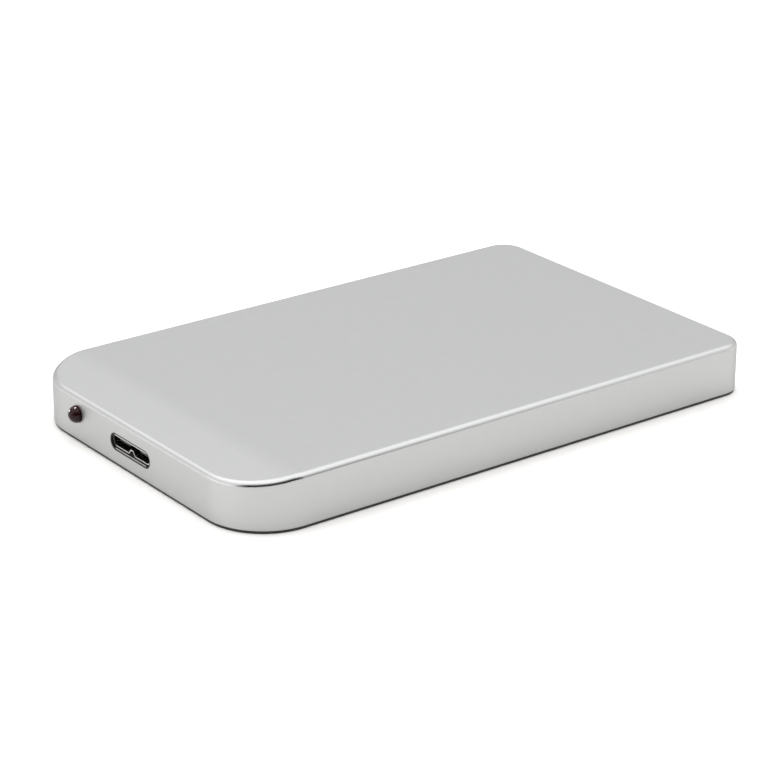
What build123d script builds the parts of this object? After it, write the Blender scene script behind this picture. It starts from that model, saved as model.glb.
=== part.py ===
from build123d import *
import os
from math import acos, atan2, cos, hypot, radians, sin, tan

os.makedirs("parts", exist_ok=True)

# Portable hard drive, millimetres. +Z is up, the port end faces -X, and the origin is the centre of
# the flat underside, on the table.

# 2.5-inch disk drive, the piece that the case is sized around
drive_length = 100.2
drive_width = 69.85
drive_height = 7.0
drive_corner = 2.0

# Case: walls, rooms left around the drive and the form of the shell
wall = 1.2
side_room = 1.375
rear_room = 1.4
bridge_bay = 16.0
pad_thickness = 0.7
cover_thickness = 1.0
rim_lift = 0.6
cover_gap = 0.15
flange_inset = 0.12
flange_gap = 0.05
flange_edge = 0.12
nose_corner = 12.4
rear_corner = 5.0
top_round = 1.12
nose_run = 10.4
nose_drop = 1.2
nose_bend = 1.8

# Ribs and bosses inside the shell, and the hook tabs at the cover's rear edge
rib_width = 2.0
rib_slack = 0.275
rib_pitch = 35.0
rib_count = 3
boss_radius = 2.5
boss_inset = 8.5
boss_side_inset = 8.0
tab_width = 8.0
tab_spacing = 40.0
tab_thickness = 0.6
tab_hook = 0.6
tab_root = 2.8
tab_slack = 0.1

# Screws of the case and of the bridge board
screw_radius = 1.0
screw_head_radius = 1.9
screw_head_sink = 0.1
screw_reach = 4.5
thread_slack = 0.05
drive_slot = 0.4
drive_slot_depth = 0.5
bridge_screw_radius = 0.7
bridge_screw_head_radius = 1.4
bridge_screw_head = 0.5
bridge_slot_depth = 0.25
post_radius = 1.9

# Foam and rubber that hold the drive
pad_width = 6.0
pad_end_gap = 10.1
pad_inset = 3.5
bumper_width = 6.0
bumper_inset = 6.925
bumper_height = 5.0

# Port slot, its black sleeve and the lamp
port_offset = 0.7
port_z = 4.83
port_width = 13.8
port_height = 3.55
bezel_wall = 0.2
bezel_slack = 0.05
bezel_flange = 0.8
bezel_flange_thickness = 0.6
led_offset = 19.4
led_z = 5.82
led_radius = 1.7
led_proud = 1.85
led_slack = 0.05
led_flange_radius = 2.0
led_flange = 0.8
lead_width = 0.5
lead_spacing = 1.3
lead_run = 1.6

# USB micro-B receptacle
usb_width = 12.75
usb_height = 2.26
usb_lift = 0.09
usb_sheet = 0.2
usb_setback = 0.35
usb_length = 6.7
usb_chamfer = 0.7
usb_top_chamfer = 0.5
usb_notch_left = 0.9
usb_notch_right = -1.2
usb_notch_height = 0.85
usb_notch_top = 0.7
usb_lip = 0.2
usb_lip_width = 10.6
usb_lip_setback = 0.1
usb_lip_drop = 0.24
usb_lip_bar = 0.15
usb_lip_arm = 0.4
usb_lip_window = 0.65
tongue_width = 3.7
super_tongue_width = 3.1
tongue_centre = 3.3
super_tongue_centre = -3.45
tongue_thickness = 0.4
tongue_drop = 0.05
tongue_setback = 0.7
tongue_body = 1.8
contact_setback = 0.2
contact_tail_gap = 0.1
contact_width = 0.3
contact_pitch = 0.65
contact_thickness = 0.1
contact_foot = 0.7
contacts_per_row = 5

# Bridge board and what is soldered to it
board_thickness = 1.0
board_front_room = 0.8
board_rear_room = 1.4
board_boss_gap = 0.5
board_corner = 1.0
bridge_post_edge = 5.5
bridge_post_inset = 6.0
bridge_chip_size = 7.0
bridge_chip_height = 0.9
bridge_flash_length = 5.0
bridge_flash_width = 4.0
bridge_flash_height = 1.4
crystal_length = 3.2
crystal_width = 2.5
crystal_height = 0.8
crystal_chamfer = 0.5
inductor_size = 4.0
inductor_height = 1.8
inductor_chamfer = 0.5
passive_length = 1.0
passive_width = 0.5
passive_height = 0.5
passive_pitch = 1.5
passive_count = 6
bridge_chip_place = (5.0, -13.0)
bridge_flash_place = (5.0, -10.0)
crystal_place = (6.8, -7.0)
inductor_place = (4.5, -5.0)
passive_place = (7.5, -19.0)

# SATA connector pair between the bridge board and the drive
sata_offset = -4.8
sata_width = 42.0
sata_depth = 5.5
sata_wall = 1.2
sata_top = 5.1
sata_floor = 1.9
sata_ceiling = 4.6
sata_blade = 1.2
sata_blade_z = 2.65
sata_blade_recess = 0.2
sata_mating_gap = 0.1
sata_signal_width = 11.0
sata_power_width = 23.5
sata_key = 2.5
sata_slack = 0.2
sata_socket_length = 5.6
sata_pin_pitch = 1.27
sata_pin_width = 0.6
sata_pin = 0.1
sata_spring = 0.2
sata_signal_pins = 7
sata_power_pins = 15

# Drive casting, lid, gasket and control board
lid_thickness = 0.5
lid_inset = 0.2
gasket_thickness = 0.2
gasket_room = 0.3
gasket_width = 1.0
rail_width = 7.0
deck_thickness = 0.8
chip_room = 0.1
motor_recess = 1.0
rear_rail = 4.0
disk_room = 0.9
well_rim = 1.525
well_rear_rim = 1.6
arm_bay_front = 7.0
arm_bay_length = 24.8
arm_bay_wall = 4.425
bay_corner = 3.0
mount_hole_radius = 1.25
mount_hole_depth = 2.0
mount_hole_front = 14.0
mount_hole_rear = 9.6
mount_hole_side = 4.065
drive_board_lift = 0.3
drive_board_thickness = 0.8
drive_board_front = 1.3
drive_board_slack = 0.4
drive_board_motor_gap = 20.4
drive_board_notch = 24.0
screw_side_count = 8
small_screw_radius = 0.7
small_screw_head_radius = 1.5
small_screw_head = 0.25
lid_screw_reach = 2.5
lid_screw_inset = 2.2
lid_screw_front = 3.3
lid_screw_middle = 37.0
board_screw_reach = 1.1
board_boss_radius = 1.8
board_screw_side = 3.0
board_screw_front = 7.0
board_screw_rear = 4.0
chip_height = 0.6
controller_size = 11.0
motor_driver_size = 7.0
cache_length = 10.0
cache_width = 8.0
controller_place = (23.0, 9.0)
motor_driver_place = (33.0, -7.0)
cache_place = (12.0, 3.0)
drive_passive_place = (24.0, -12.0)
drive_passive_count = 8

# Spindle and disks
disk_bore = 10.0
disk_thickness = 0.635
disk_gap = 1.2
disk_lift = 0.7
hub_slack = 0.05
hub_wall = 1.05
hub_flange = 1.5
hub_flange_thickness = 0.4
hub_top = 0.7
hub_sink = 0.1
shaft_radius = 1.25
shaft_slack = 0.05
shaft_reach = 0.9
shaft_end_gap = 0.1
press_slack = 0.02
boss_foot_radius = 4.0
boss_foot = 0.6
bearing_radius = 3.0
bearing_height = 2.1
magnet_wall = 0.8
magnet_height = 2.0
stator_gap = 0.4
stator_thickness = 0.8
stator_teeth = 9
stator_ring = 1.2
tooth_width = 1.0
tooth_tip = 0.7
tooth_tip_width = 3.2
coil_wall = 0.4
coil_length = 2.2
clamp_thickness = 0.3
clamp_screw_count = 6
clamp_screw_circle = 6.0
clamp_screw_radius = 0.6
clamp_screw_head_radius = 1.1
clamp_screw_head = 0.2
clamp_screw_reach = 0.9

# Head arm: pivot, arms, suspensions, heads, coil and its magnets
pivot_room = 9.9
pivot_wall = 18.5
arm_past_disk = 4.5
park_gap = 2.1
head_gap = 0.05
slider_thickness = 0.2
slider_length = 1.2
slider_width = 1.0
spring_thickness = 0.08
spring_width = 2.4
spring_tip = 0.8
spring_overlap = 3.0
spring_run = 12.0
arm_root = 6.0
arm_tip = 3.0
outer_arm_thickness = 0.25
arm_block_radius = 4.5
sleeve_radius = 3.0
pivot_radius = 1.5
pivot_slack = 0.05
pivot_foot_radius = 2.2
pivot_foot = 0.3
pivot_end_gap = 0.1
coil_inner = 6.5
coil_outer = 13.8
coil_root_width = 4.6
coil_tip_width = 10.0
coil_band = 1.6
coil_thickness = 1.2
frame_band = 0.8
frame_thickness = 1.0
yoke_thickness = 0.5
yoke_post_radius = 1.1
yoke_margin = 1.1
yoke_side_reach = 13.0
yoke_far_reach = 18.0
yoke_side_angle = 46.0
magnet_inner = 7.6
magnet_outer = 14.0
magnet_half_angle = 34.0
coil_magnet_gap = 0.25
swing_half_angle = 15.0
ramp_gap = 0.8
ramp_length = 2.0
ramp_width = 5.0
ramp_chamfer = 0.4
ramp_shift = 1.0

# Places that follow from the sizes above
case_length = wall + bridge_bay + drive_length + rear_room + wall
case_width = drive_width + 2 * (side_room + wall)
ceiling_z = cover_thickness + 2 * pad_thickness + drive_height
case_height = ceiling_z + wall
port_face = -case_length / 2
port_inner = port_face + wall
rear_inner = case_length / 2 - wall
side_inner = case_width / 2 - wall
crease_x = port_face + nose_run
cover_inset = wall + cover_gap
boss_x = port_face + boss_inset
boss_y = case_width / 2 - boss_side_inset
drive_front = port_inner + bridge_bay
drive_rear = drive_front + drive_length
drive_bottom = cover_thickness + pad_thickness
drive_top = drive_bottom + drive_height
drive_x = (drive_front + drive_rear) / 2
pad_length = drive_length - 2 * pad_end_gap

# Levels inside the drive
lid_under = drive_top - lid_thickness
base_top = lid_under - gasket_thickness
drive_board_bottom = drive_bottom + drive_board_lift
drive_board_top = drive_board_bottom + drive_board_thickness
deck_under = drive_board_top + chip_height + chip_room
deck_top = deck_under + deck_thickness
lower_disk_z = deck_top + disk_lift
lower_disk_top = lower_disk_z + disk_thickness
upper_disk_z = lower_disk_top + disk_gap
upper_disk_top = upper_disk_z + disk_thickness
hub_top_z = upper_disk_top - hub_sink

# End wall seen from outside: sketch x runs along +Y, sketch y along +Z, and depth goes into the case
end_plane = Plane(origin=(port_face, 0, 0), x_dir=(0, 1, 0), z_dir=(1, 0, 0))
port_centre = (port_offset, port_z)
usb_z = port_z + usb_lift
board_top = usb_z - usb_height / 2
board_bottom = board_top - board_thickness
board_front = port_inner + board_front_room
board_rear = drive_front - board_rear_room
board_width = 2 * (boss_y - boss_radius - board_boss_gap)
bridge_post_y = board_width / 2 - bridge_post_edge
bridge_post_x = board_front + bridge_post_inset
bridge_post_places = [(bridge_post_x, -bridge_post_y), (bridge_post_x, bridge_post_y)]


# Room inside the shell, with the ceiling following the nose
with BuildPart() as case_room:
    with BuildSketch():
        with Locations(((port_inner + rear_inner) / 2, 0)):
            Rectangle(rear_inner - port_inner, 2 * side_inner)
        fillet(vertices().group_by(Axis.X)[0], nose_corner - wall)
        fillet(vertices().group_by(Axis.X)[-1], rear_corner - wall)
    extrude(amount=ceiling_z)
    with BuildSketch(Plane.XZ):
        with BuildLine():
            Polyline(
                (crease_x, ceiling_z),
                (port_face, ceiling_z - nose_drop),
                (port_face, ceiling_z),
                close=True,
            )
        make_face()
    extrude(amount=case_width, both=True, mode=Mode.SUBTRACT)

# Outline of the case, large corners at the port end and small ones at the rear
with BuildSketch() as case_outline:
    Rectangle(case_length, case_width)
    fillet(vertices().group_by(Axis.X)[0], nose_corner)
    fillet(vertices().group_by(Axis.X)[-1], rear_corner)

# Top shell: drawn aluminium cup, open below, with a nose that bends softly down to the port end
slope = atan2(nose_drop, nose_run)
with BuildPart() as top_shell:
    with BuildSketch(Plane.XY.offset(rim_lift)):
        add(case_outline.sketch)
    extrude(amount=case_height - rim_lift)
    with BuildSketch(Plane.XZ):
        with BuildLine():
            bend_start = (crease_x - nose_bend * cos(slope), case_height - nose_bend * sin(slope))
            fall = Line((port_face - wall, case_height - nose_drop - wall * tan(slope)), bend_start)
            TangentArc(bend_start, (crease_x + nose_bend, case_height), tangent=fall % 1)
            Polyline(
                (crease_x + nose_bend, case_height),
                (crease_x + nose_bend, 2 * case_height),
                (port_face - wall, 2 * case_height),
                (port_face - wall, case_height - nose_drop - wall * tan(slope)),
            )
        make_face()
    extrude(amount=case_width, both=True, mode=Mode.SUBTRACT)
    roof_edges = edges().filter_by(lambda edge: edge.center().Z > case_height - 2 * nose_drop)
    bend_lines = roof_edges.filter_by(Axis.Y).sort_by(Axis.X)[1:-1]
    fillet(roof_edges - bend_lines, top_round)
    add(case_room.part, mode=Mode.SUBTRACT)
    # Ribs along the long walls keep the drive centred and stop the cover
    with BuildSketch(Plane.XY.offset(cover_thickness)):
        rib_depth = side_room - rib_slack
        for side in (-1, 1):
            with Locations((drive_x, side * (side_inner + wall / 2 - rib_depth / 2))):
                with GridLocations(rib_pitch, 1, rib_count, 1):
                    Rectangle(rib_width, rib_depth + wall)
    extrude(amount=ceiling_z - cover_thickness)
    # Bosses for the cover's screws
    with BuildSketch(Plane.XY.offset(cover_thickness)):
        with Locations((boss_x, boss_y), (boss_x, -boss_y)):
            Circle(boss_radius)
    extrude(amount=ceiling_z - cover_thickness)
    with BuildSketch(Plane.XY.offset(cover_thickness)):
        with Locations((boss_x, boss_y), (boss_x, -boss_y)):
            RegularPolygon(screw_radius + thread_slack, screw_side_count, major_radius=False)
    extrude(amount=screw_reach + screw_radius, mode=Mode.SUBTRACT)
    # Pockets in the rear wall for the cover's hook tabs
    with BuildSketch(Plane.XY.offset(cover_thickness - tab_slack)):
        with Locations((rear_inner, 0)):
            with GridLocations(1, tab_spacing, 1, 2):
                Rectangle(2 * (tab_hook - cover_gap + tab_slack), tab_width + 2 * tab_slack)
    extrude(amount=tab_thickness + 2 * tab_slack, mode=Mode.SUBTRACT)
    # Port slot and lamp hole in the end wall
    with BuildSketch(end_plane):
        with Locations(port_centre):
            SlotOverall(port_width, port_height)
        with Locations((led_offset, led_z)):
            Circle(led_radius + led_slack)
    extrude(amount=wall, mode=Mode.SUBTRACT)
top_shell.part.label = "top_shell"
export_step(top_shell.part, "parts/top_shell.step")

# Bottom cover: moulded black plate that fits inside the shell, with a flange under the shell's rim, and
# hooks at the rear
with BuildPart() as bottom_cover:
    with BuildSketch():
        Rectangle(case_length - 2 * flange_inset, case_width - 2 * flange_inset)
        fillet(vertices().group_by(Axis.X)[0], nose_corner - flange_inset)
        fillet(vertices().group_by(Axis.X)[-1], rear_corner - flange_inset)
    extrude(amount=rim_lift - flange_gap)
    chamfer(edges().group_by(Axis.Z)[0], flange_edge)
    with BuildSketch():
        Rectangle(case_length - 2 * cover_inset, case_width - 2 * cover_inset)
        fillet(vertices().group_by(Axis.X)[0], nose_corner - cover_inset)
        fillet(vertices().group_by(Axis.X)[-1], rear_corner - cover_inset)
    extrude(amount=cover_thickness)
    tab_end = rear_inner - cover_gap + tab_hook
    with BuildSketch(Plane.XY.offset(cover_thickness)):
        with Locations((tab_end - (tab_root + tab_hook) / 2, 0)):
            with GridLocations(1, tab_spacing, 1, 2):
                Rectangle(tab_root + tab_hook, tab_width)
    extrude(amount=tab_thickness)
    with BuildSketch(Plane.XY.offset(cover_thickness)):
        with Locations(*bridge_post_places):
            Circle(post_radius)
    extrude(amount=board_bottom - cover_thickness)
    with BuildSketch(Plane.XY.offset(cover_thickness)):
        with Locations(*bridge_post_places):
            RegularPolygon(bridge_screw_radius + thread_slack, screw_side_count)
    extrude(amount=board_bottom - cover_thickness, mode=Mode.SUBTRACT)
    seat_radius = screw_head_radius + screw_head_sink
    shank_room = screw_radius + screw_head_sink
    with Locations((boss_x, boss_y, 0), (boss_x, -boss_y, 0)):
        Cone(
            seat_radius,
            shank_room,
            seat_radius - shank_room,
            align=(Align.CENTER, Align.CENTER, Align.MIN),
            mode=Mode.SUBTRACT,
        )
        Cylinder(
            shank_room,
            cover_thickness,
            align=(Align.CENTER, Align.CENTER, Align.MIN),
            mode=Mode.SUBTRACT,
        )
bottom_cover.part.label = "bottom_cover"
export_step(bottom_cover.part, "parts/bottom_cover.step")

# Two countersunk screws that close the port end
with BuildPart() as cover_screws:
    head_height = screw_head_radius - screw_radius
    with Locations((boss_x, boss_y, screw_head_sink), (boss_x, -boss_y, screw_head_sink)):
        Cone(
            screw_head_radius,
            screw_radius,
            head_height,
            align=(Align.CENTER, Align.CENTER, Align.MIN),
        )
        Cylinder(
            screw_radius,
            head_height + screw_reach,
            align=(Align.CENTER, Align.CENTER, Align.MIN),
        )
    with BuildSketch(Plane.XY.offset(screw_head_sink)):
        with Locations((boss_x, boss_y), (boss_x, -boss_y)):
            Rectangle(2 * screw_radius, drive_slot)
            Rectangle(drive_slot, 2 * screw_radius)
    extrude(amount=drive_slot_depth, mode=Mode.SUBTRACT)
cover_screws.part.label = "cover_screws"
export_step(cover_screws.part, "parts/cover_screws.step")

# Foam strips under the drive's side rails
with BuildPart() as lower_pads:
    with BuildSketch(Plane.XY.offset(cover_thickness)):
        with Locations((drive_x, 0)):
            with GridLocations(1, drive_width - 2 * pad_inset, 1, 2):
                Rectangle(pad_length, pad_width)
    extrude(amount=pad_thickness)
lower_pads.part.label = "lower_pads"
export_step(lower_pads.part, "parts/lower_pads.step")

# Foam strips between the drive's lid and the shell
with BuildPart() as upper_pads:
    with BuildSketch(Plane.XY.offset(drive_top)):
        with Locations((drive_x, 0)):
            with GridLocations(1, drive_width - 2 * pad_inset, 1, 2):
                Rectangle(pad_length, pad_width)
    extrude(amount=pad_thickness)
upper_pads.part.label = "upper_pads"
export_step(upper_pads.part, "parts/upper_pads.step")

# Rubber blocks behind the drive
with BuildPart() as rear_bumpers:
    with BuildSketch(Plane.YZ.offset(drive_rear)):
        with Locations((0, (drive_bottom + drive_top) / 2)):
            with GridLocations(drive_width - 2 * bumper_inset, 1, 2, 1):
                Rectangle(bumper_width, bumper_height)
    extrude(amount=rear_room)
rear_bumpers.part.label = "rear_bumpers"
export_step(rear_bumpers.part, "parts/rear_bumpers.step")

# Black sleeve that lines the port slot, flanged behind the wall
with BuildPart() as port_bezel:
    sleeve_width = port_width - 2 * bezel_slack
    sleeve_height = port_height - 2 * bezel_slack
    with BuildSketch(end_plane):
        with Locations(port_centre):
            SlotOverall(sleeve_width, sleeve_height)
    extrude(amount=wall)
    with BuildSketch(end_plane.offset(wall)):
        with Locations(port_centre):
            SlotOverall(sleeve_width + 2 * bezel_flange, sleeve_height + 2 * bezel_flange)
    extrude(amount=bezel_flange_thickness)
    with BuildSketch(end_plane):
        with Locations(port_centre):
            SlotOverall(sleeve_width - 2 * bezel_wall, sleeve_height - 2 * bezel_wall)
    extrude(amount=wall + bezel_flange_thickness, mode=Mode.SUBTRACT)
port_bezel.part.label = "port_bezel"
export_step(port_bezel.part, "parts/port_bezel.step")

# USB receptacle shell: folded steel tube, chamfered at its corners, with the notch between its two halves
# and a straight lip, cut out behind its front bar, under its lower edge
usb_front = port_face + usb_setback
usb_plane = Plane(origin=(usb_front, port_offset, usb_z), x_dir=(0, 1, 0), z_dir=(1, 0, 0))
half_width = usb_width / 2
half_height = usb_height / 2
with BuildPart() as usb_shell:
    with BuildSketch(usb_plane):
        with BuildLine():
            Polyline(
                (half_width - usb_top_chamfer, half_height),
                (half_width, half_height - usb_top_chamfer),
                (half_width, -half_height + usb_chamfer),
                (half_width - usb_chamfer, -half_height),
                (usb_notch_left, -half_height),
                (usb_notch_left - usb_notch_top, -half_height + usb_notch_height),
                (usb_notch_right + usb_notch_top, -half_height + usb_notch_height),
                (usb_notch_right, -half_height),
                (-half_width + usb_chamfer, -half_height),
                (-half_width, -half_height + usb_chamfer),
                (-half_width, half_height - usb_top_chamfer),
                (-half_width + usb_top_chamfer, half_height),
                close=True,
            )
        make_face()
        offset(amount=-usb_sheet, kind=Kind.INTERSECTION, mode=Mode.SUBTRACT)
    extrude(amount=usb_length)
    lip_top = -half_height - usb_lip_drop
    lip_plane = usb_plane.offset(usb_lip_setback - usb_setback)
    lip_end = board_front - bezel_slack - port_face - usb_lip_setback
    with BuildSketch(lip_plane):
        with Locations((0, lip_top - usb_lip / 2)):
            Rectangle(usb_lip_width, usb_lip)
    extrude(amount=lip_end)
    with BuildSketch(lip_plane.offset(usb_lip_bar)):
        with Locations((0, lip_top - usb_lip / 2)):
            Rectangle(usb_lip_width - 2 * usb_lip_arm, usb_lip)
    extrude(amount=usb_lip_window, mode=Mode.SUBTRACT)
    with BuildSketch(lip_plane.offset(usb_lip_bar + usb_lip_window)):
        with Locations((0, (lip_top - half_height) / 2)):
            Rectangle(usb_lip_width, usb_lip_drop)
    extrude(amount=lip_end - usb_lip_bar - usb_lip_window)
usb_shell.part.label = "usb_shell"
export_step(usb_shell.part, "parts/usb_shell.step")

# USB tongues: one black moulding, its rear block held under the tube's roof
with BuildPart() as usb_tongue:
    tongue_low = -tongue_drop
    roof_low = half_height - usb_sheet
    with BuildSketch(usb_plane.offset(usb_length - tongue_body)):
        with Locations((0, (tongue_low + roof_low) / 2)):
            Rectangle(usb_width - 2 * (usb_sheet + usb_top_chamfer), roof_low - tongue_low)
    extrude(amount=tongue_body)
    with BuildSketch(usb_plane.offset(tongue_setback)):
        with Locations((tongue_centre, tongue_low + tongue_thickness / 2)):
            Rectangle(tongue_width, tongue_thickness)
        with Locations((super_tongue_centre, tongue_low + tongue_thickness / 2)):
            Rectangle(super_tongue_width, tongue_thickness)
    extrude(amount=usb_length - tongue_setback)
usb_tongue.part.label = "usb_tongue"
export_step(usb_tongue.part, "parts/usb_tongue.step")

# One contact spring: a strip under the tongue, bent down behind the tube to a foot on the board
contact_front = usb_front + tongue_setback + contact_setback
contact_tail = usb_front + usb_length + contact_tail_gap
contact_top = usb_z - tongue_drop
with BuildPart() as usb_contact:
    with BuildSketch(Plane.XZ):
        with BuildLine():
            Polyline(
                (contact_front, contact_top),
                (contact_tail + contact_thickness, contact_top),
                (contact_tail + contact_thickness, board_top + contact_thickness),
                (contact_tail + contact_foot, board_top + contact_thickness),
                (contact_tail + contact_foot, board_top),
                (contact_tail, board_top),
                (contact_tail, contact_top - contact_thickness),
                (contact_front, contact_top - contact_thickness),
                close=True,
            )
        make_face()
    extrude(amount=contact_width / 2, both=True)

# The two rows of contacts
with BuildPart() as usb_contacts:
    for row_centre in (tongue_centre, super_tongue_centre):
        with Locations((0, port_offset + row_centre, 0)):
            with GridLocations(1, contact_pitch, 1, contacts_per_row):
                add(usb_contact.part)
usb_contacts.part.label = "usb_contacts"
export_step(usb_contacts.part, "parts/usb_contacts.step")

# Status lamp: domed dark red lens, flanged behind the wall
led_plane = Plane(origin=(port_face, led_offset, led_z), x_dir=(1, 0, 0), z_dir=(0, -1, 0))
led_back = wall + led_flange
with BuildPart() as status_led:
    with BuildSketch(led_plane):
        with BuildLine():
            dome = CenterArc((led_radius - led_proud, 0), led_radius, 90, 90)
            Polyline(
                dome @ 0,
                (wall, led_radius),
                (wall, led_flange_radius),
                (led_back, led_flange_radius),
                (led_back, 0),
                dome @ 1,
            )
        make_face()
    revolve(axis=Axis((port_face, led_offset, led_z), (1, 0, 0)))
status_led.part.label = "status_led"
export_step(status_led.part, "parts/status_led.step")

# Lamp leads, bent down to the board's face
lead_start = port_face + led_back
lead_bend = lead_start + lead_run
with BuildPart() as led_leads:
    for lead_side in (-1, 1):
        lead_y = led_offset + lead_side * lead_spacing / 2
        with BuildSketch(Plane.XZ.offset(-lead_y)):
            with BuildLine():
                Polyline(
                    (lead_start, led_z + lead_width / 2),
                    (lead_bend + lead_width, led_z + lead_width / 2),
                    (lead_bend + lead_width, board_top),
                    (lead_bend, board_top),
                    (lead_bend, led_z - lead_width / 2),
                    (lead_start, led_z - lead_width / 2),
                    close=True,
                )
            make_face()
        extrude(amount=lead_width / 2, both=True)
led_leads.part.label = "led_leads"
export_step(led_leads.part, "parts/led_leads.step")

# Bridge board behind the port
with BuildPart() as bridge_board:
    with BuildSketch(Plane.XY.offset(board_bottom)):
        with Locations(((board_front + board_rear) / 2, 0)):
            RectangleRounded(board_rear - board_front, board_width, board_corner)
        with Locations(*bridge_post_places):
            RegularPolygon(bridge_screw_radius + thread_slack, screw_side_count, mode=Mode.SUBTRACT)
    extrude(amount=board_thickness)
bridge_board.part.label = "bridge_board"
export_step(bridge_board.part, "parts/bridge_board.step")

# Two pan screws hold the bridge board on the cover's posts
with BuildPart() as bridge_screws:
    with BuildSketch(Plane.XY.offset(board_top)):
        with Locations(*bridge_post_places):
            RegularPolygon(bridge_screw_head_radius, screw_side_count)
    extrude(amount=bridge_screw_head)
    with BuildSketch(Plane.XY.offset(board_top)):
        with Locations(*bridge_post_places):
            RegularPolygon(bridge_screw_radius, screw_side_count)
    extrude(amount=cover_thickness - board_top + bridge_screw_radius)
    with BuildSketch(Plane.XY.offset(board_top + bridge_screw_head)):
        with Locations(*bridge_post_places):
            Rectangle(2 * bridge_screw_radius, drive_slot)
            Rectangle(drive_slot, 2 * bridge_screw_radius)
    extrude(amount=-bridge_slot_depth, mode=Mode.SUBTRACT)
bridge_screws.part.label = "bridge_screws"
export_step(bridge_screws.part, "parts/bridge_screws.step")

# Chips and small parts on the bridge board, laid out from its front edge
with BuildPart() as bridge_chip:
    with BuildSketch(Plane.XY.offset(board_top)):
        with Locations((board_front + bridge_chip_place[0], bridge_chip_place[1])):
            Rectangle(bridge_chip_size, bridge_chip_size)
    extrude(amount=bridge_chip_height)
bridge_chip.part.label = "bridge_chip"
export_step(bridge_chip.part, "parts/bridge_chip.step")

with BuildPart() as bridge_flash:
    with BuildSketch(Plane.XY.offset(board_top)):
        with Locations((board_front + bridge_flash_place[0], bridge_post_y + bridge_flash_place[1])):
            Rectangle(bridge_flash_length, bridge_flash_width)
    extrude(amount=bridge_flash_height)
bridge_flash.part.label = "bridge_flash"
export_step(bridge_flash.part, "parts/bridge_flash.step")

with BuildPart() as bridge_crystal:
    with BuildSketch(Plane.XY.offset(board_top)):
        with Locations((board_front + crystal_place[0], crystal_place[1])):
            Rectangle(crystal_length, crystal_width)
    extrude(amount=crystal_height)
    chamfer(edges().filter_by(Axis.Z), crystal_chamfer)
bridge_crystal.part.label = "bridge_crystal"
export_step(bridge_crystal.part, "parts/bridge_crystal.step")

with BuildPart() as bridge_inductor:
    with BuildSketch(Plane.XY.offset(board_top)):
        with Locations((board_front + inductor_place[0], bridge_post_y + inductor_place[1])):
            Rectangle(inductor_size, inductor_size)
    extrude(amount=inductor_height)
    chamfer(edges().filter_by(Axis.Z), inductor_chamfer)
bridge_inductor.part.label = "bridge_inductor"
export_step(bridge_inductor.part, "parts/bridge_inductor.step")

with BuildPart() as bridge_passives:
    with BuildSketch(Plane.XY.offset(board_top)):
        with Locations((board_front + passive_place[0], bridge_post_y + passive_place[1])):
            with GridLocations(1, passive_pitch, 1, passive_count):
                Rectangle(passive_length, passive_width)
    extrude(amount=passive_height)
bridge_passives.part.label = "bridge_passives"
export_step(bridge_passives.part, "parts/bridge_passives.step")

# SATA plug at the drive's end: an open box with two contact blades in it, on the drive's board
sata_top_z = drive_bottom + sata_top
blade_low = drive_bottom + sata_blade_z
blade_high = blade_low + sata_blade
sata_pocket = sata_depth - sata_wall
blades_width = sata_signal_width + sata_key + sata_power_width
signal_y = sata_offset - blades_width / 2 + sata_signal_width / 2
power_y = sata_offset + blades_width / 2 - sata_power_width / 2
sata_plane = Plane(origin=(drive_front, 0, 0), x_dir=(0, 1, 0), z_dir=(1, 0, 0))
pocket_low = drive_bottom + sata_floor
pocket_high = drive_bottom + sata_ceiling
with BuildPart() as sata_plug:
    with BuildSketch(sata_plane):
        with Locations((sata_offset, (drive_board_top + sata_top_z) / 2)):
            Rectangle(sata_width, sata_top_z - drive_board_top)
    extrude(amount=sata_depth)
    with BuildSketch(sata_plane):
        with Locations((sata_offset, (pocket_low + pocket_high) / 2)):
            Rectangle(sata_width - 2 * sata_wall, pocket_high - pocket_low)
    extrude(amount=sata_pocket, mode=Mode.SUBTRACT)
    with BuildSketch(sata_plane.offset(sata_blade_recess)):
        with Locations((signal_y, (blade_low + blade_high) / 2)):
            Rectangle(sata_signal_width, sata_blade)
        with Locations((power_y, (blade_low + blade_high) / 2)):
            Rectangle(sata_power_width, sata_blade)
    extrude(amount=sata_pocket - sata_blade_recess)
sata_plug.part.label = "sata_plug"
export_step(sata_plug.part, "parts/sata_plug.step")

# Contact strips under the blades
with BuildPart() as sata_plug_contacts:
    with BuildSketch(sata_plane.offset(sata_blade_recess)):
        with Locations((signal_y, blade_low - sata_pin / 2)):
            with GridLocations(sata_pin_pitch, 1, sata_signal_pins, 1):
                Rectangle(sata_pin_width, sata_pin)
        with Locations((power_y, blade_low - sata_pin / 2)):
            with GridLocations(sata_pin_pitch, 1, sata_power_pins, 1):
                Rectangle(sata_pin_width, sata_pin)
    extrude(amount=sata_pocket - sata_blade_recess)
sata_plug_contacts.part.label = "sata_plug_contacts"
export_step(sata_plug_contacts.part, "parts/sata_plug_contacts.step")

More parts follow.
